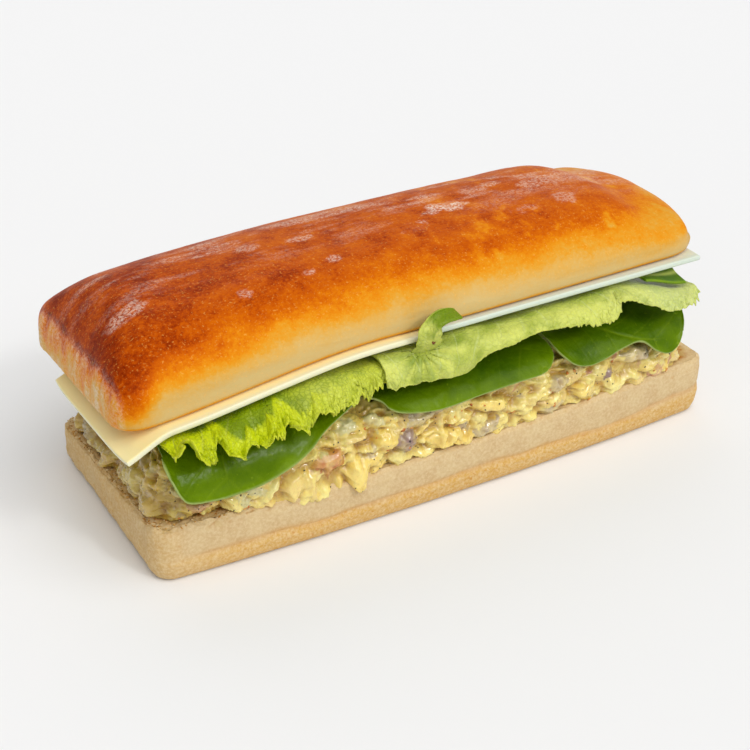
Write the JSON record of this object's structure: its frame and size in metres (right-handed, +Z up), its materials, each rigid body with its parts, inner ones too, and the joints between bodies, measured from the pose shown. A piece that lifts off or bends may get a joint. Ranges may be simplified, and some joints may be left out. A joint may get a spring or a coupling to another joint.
{
  "type": "chicken caesar sandwich",
  "caption": "Long filled roll: flat split base, heaped chicken salad, spinach, ruffled lettuce and sliced cheese under a domed crusty top.",
  "frame": {"origin": "on the flat underside of the lower half of the roll, below the middle of the sandwich", "axes": "+X along the roll to the end with the domed nose, -Y towards the long side that shows most filling, +Z up"},
  "size_m": [0.2159, 0.0981, 0.0826],
  "materials": {
    "bread": "baked crumb and pale crust, matt with a fine grain",
    "crust": "deep golden-brown crust with a soft sheen and flour dust",
    "salad": "creamy dressed chicken, moist sheen",
    "spinach": "dark green leaf, smooth and glossy",
    "lettuce": "yellow-green ruffled leaf, moist satin",
    "cheese": "pale yellow sliced cheese, smooth satin"
  },
  "bodies": {
    "root": {"base_bun": "bread", "chicken_salad": "salad", "spinach_leaf_left": "spinach", "spinach_leaf_middle": "spinach", "spinach_leaf_right": "spinach", "lettuce_left": "lettuce", "lettuce_right": "lettuce", "lettuce_strip_right": "lettuce", "cheese_slice_left": "cheese", "cheese_slice_right": "cheese", "top_bun": "crust"}
  },
  "joints": []
}
